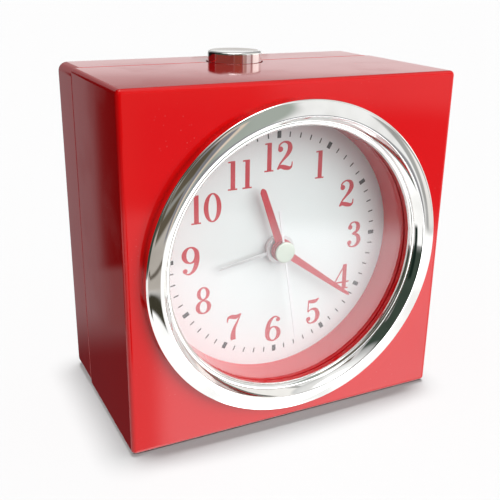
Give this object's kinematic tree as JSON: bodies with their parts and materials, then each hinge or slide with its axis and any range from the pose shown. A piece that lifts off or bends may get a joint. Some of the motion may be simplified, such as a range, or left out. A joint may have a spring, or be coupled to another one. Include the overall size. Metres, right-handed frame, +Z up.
{
  "type": "travel alarm clock",
  "caption": "Cube-shaped red travel alarm clock with a chrome bezel, white analogue dial, snooze button on top, and setting knobs, alarm switch and battery door behind.",
  "frame": {"origin": "middle of the footprint, on the surface that the rubber feet stand on", "axes": "+Z up, the dial faces -Y, +X to the viewer's right when facing the dial"},
  "size_m": [0.09, 0.0574, 0.0934],
  "materials": {
    "case_red": "high-gloss moulded ABS",
    "ring_red": "glossy moulded ABS",
    "chrome": "bright chrome plating",
    "clear_lens": "clear polished acrylic",
    "dial_white": "white printed dial with red numerals and black minute track",
    "foot_rubber": "soft matte rubber",
    "screw_steel": "zinc-plated steel",
    "movement_plastic": "white POM",
    "cover_plastic": "light grey moulded plastic",
    "circuit_board": "green board",
    "chip_resin": "black epoxy blob",
    "crystal_can": "drawn metal can",
    "bobbin_plastic": "ivory nylon",
    "copper_wire": "enamelled copper winding",
    "stator_steel": "laminated soft iron",
    "contact_brass": "spring brass",
    "buzzer_brass": "brass disc with ceramic",
    "battery_jacket": "printed metal jacket, no lettering",
    "spring_steel": "nickel-plated spring steel",
    "wire_insulation": "vinyl insulation",
    "switch_black": "black moulded plastic",
    "hand_red": "red painted aluminium",
    "hand_silver": "bright rolled aluminium",
    "cap_silver": "pearl silver paint",
    "gear_plastic": "natural POM",
    "gear_brass": "machined brass",
    "rotor_magnet": "sintered magnet",
    "knob_black": "black moulded plastic, fluted",
    "slider_white": "white moulded plastic"
  },
  "bodies": {
    "case": {"front_case": "case_red", "rear_case": "case_red", "bezel": "chrome", "lens": "clear_lens", "dial_ring": "ring_red", "dial": "dial_white", "rubber_feet": "foot_rubber", "case_screws": "screw_steel", "movement_front_plate": "movement_plastic", "movement_rear_cover": "cover_plastic", "movement_screws": "screw_steel", "circuit_board": "circuit_board", "driver_chip": "chip_resin", "quartz_crystal": "crystal_can", "coil_bobbin": "bobbin_plastic", "coil_winding": "copper_wire", "stator": "stator_steel", "alarm_contact_spring": "contact_brass", "buzzer": "buzzer_brass", "battery": "battery_jacket", "battery_spring": "spring_steel", "battery_plate": "spring_steel", "battery_wires": "wire_insulation", "buzzer_wires": "wire_insulation", "snooze_bracket": "bobbin_plastic", "snooze_switch": "switch_black", "bracket_screws": "screw_steel", "alarm_switch_body": "switch_black", "snooze_spring": "spring_steel"},
    "hour": {"hour_hand": "hand_red", "hour_wheel": "gear_plastic"},
    "minute": {"minute_hand": "hand_red", "cannon_pinion": "gear_brass"},
    "second": {"second_hand": "hand_silver", "second_hand_cap": "cap_silver", "seconds_wheel": "gear_plastic"},
    "alarm": {"alarm_hand": "hand_silver", "alarm_wheel": "gear_plastic"},
    "time_set": {"time_set_arbor": "gear_plastic", "time_set_knob": "knob_black"},
    "alarm_set": {"alarm_set_arbor": "gear_plastic", "alarm_set_knob": "knob_black"},
    "centre": {"centre_wheel": "gear_brass"},
    "third": {"third_wheel": "gear_plastic"},
    "intermediate": {"intermediate_wheel": "gear_plastic"},
    "rotor": {"rotor_magnet": "rotor_magnet", "rotor_pinion": "gear_plastic"},
    "snooze": {"snooze_button": "chrome"},
    "alarm_switch": {"alarm_switch_slider": "slider_white"},
    "battery_door": {"battery_door": "case_red"}
  },
  "joints": [
    {"name": "minute_turn", "type": "hinge", "parent": "case", "child": "minute", "pos_m": [0, -0.00735, 0.0455], "axis": [0, 1, 0], "continuous": true},
    {"name": "hour_turn", "type": "hinge", "parent": "case", "child": "hour", "pos_m": [0, -0.00935, 0.0455], "axis": [0, 1, 0], "continuous": true},
    {"name": "time_set_turn", "type": "hinge", "parent": "case", "child": "time_set", "pos_m": [-0.01162, -0.00735, 0.0425], "axis": [0, 1, 0], "continuous": true},
    {"name": "second_turn", "type": "hinge", "parent": "case", "child": "second", "pos_m": [0, -0.00335, 0.0455], "axis": [0, 1, 0], "continuous": true},
    {"name": "intermediate_turn", "type": "hinge", "parent": "case", "child": "intermediate", "pos_m": [0.00359, -0.00135, 0.03563], "axis": [0, 1, 0], "continuous": true},
    {"name": "rotor_turn", "type": "hinge", "parent": "case", "child": "rotor", "pos_m": [0.00359, 0.00065, 0.02813], "axis": [0, 1, 0], "continuous": true},
    {"name": "third_turn", "type": "hinge", "parent": "case", "child": "third", "pos_m": [0, -0.00435, 0.0563], "axis": [0, 1, 0], "continuous": true},
    {"name": "centre_turn", "type": "hinge", "parent": "case", "child": "centre", "pos_m": [0, -0.00535, 0.0455], "axis": [0, 1, 0], "continuous": true},
    {"name": "alarm_set_turn", "type": "hinge", "parent": "case", "child": "alarm_set", "pos_m": [0.01162, -0.00735, 0.0425], "axis": [0, 1, 0], "continuous": true},
    {"name": "alarm_turn", "type": "hinge", "parent": "case", "child": "alarm", "pos_m": [0, -0.01035, 0.0455], "axis": [0, 1, 0], "continuous": true},
    {"name": "snooze_press", "type": "slide", "parent": "case", "child": "snooze", "axis": [0, 0, -1], "range_m": [0, 0.0015], "stiffness_N_per_m": 300, "springref_m": -0.002, "deforming": ["snooze_spring"]},
    {"name": "alarm_switch_slide", "type": "slide", "parent": "case", "child": "alarm_switch", "axis": [1, 0, 0], "range_m": [0, 0.004]},
    {"name": "battery_door_hinge", "type": "hinge", "parent": "case", "child": "battery_door", "pos_m": [0, 0.02775, 0.007], "axis": [-1, 0, 0], "range_deg": [0, 95]}
  ],
  "couplings": [
    {"joint": "hour_turn", "follows": "minute_turn", "ratio": 0.083333},
    {"joint": "time_set_turn", "follows": "minute_turn", "ratio": -0.33333},
    {"joint": "intermediate_turn", "follows": "second_turn", "ratio": -6},
    {"joint": "rotor_turn", "follows": "second_turn", "ratio": 30},
    {"joint": "third_turn", "follows": "second_turn", "ratio": -0.13333},
    {"joint": "centre_turn", "follows": "second_turn", "ratio": 0.016667},
    {"joint": "alarm_turn", "follows": "alarm_set_turn", "ratio": -0.33333}
  ]
}
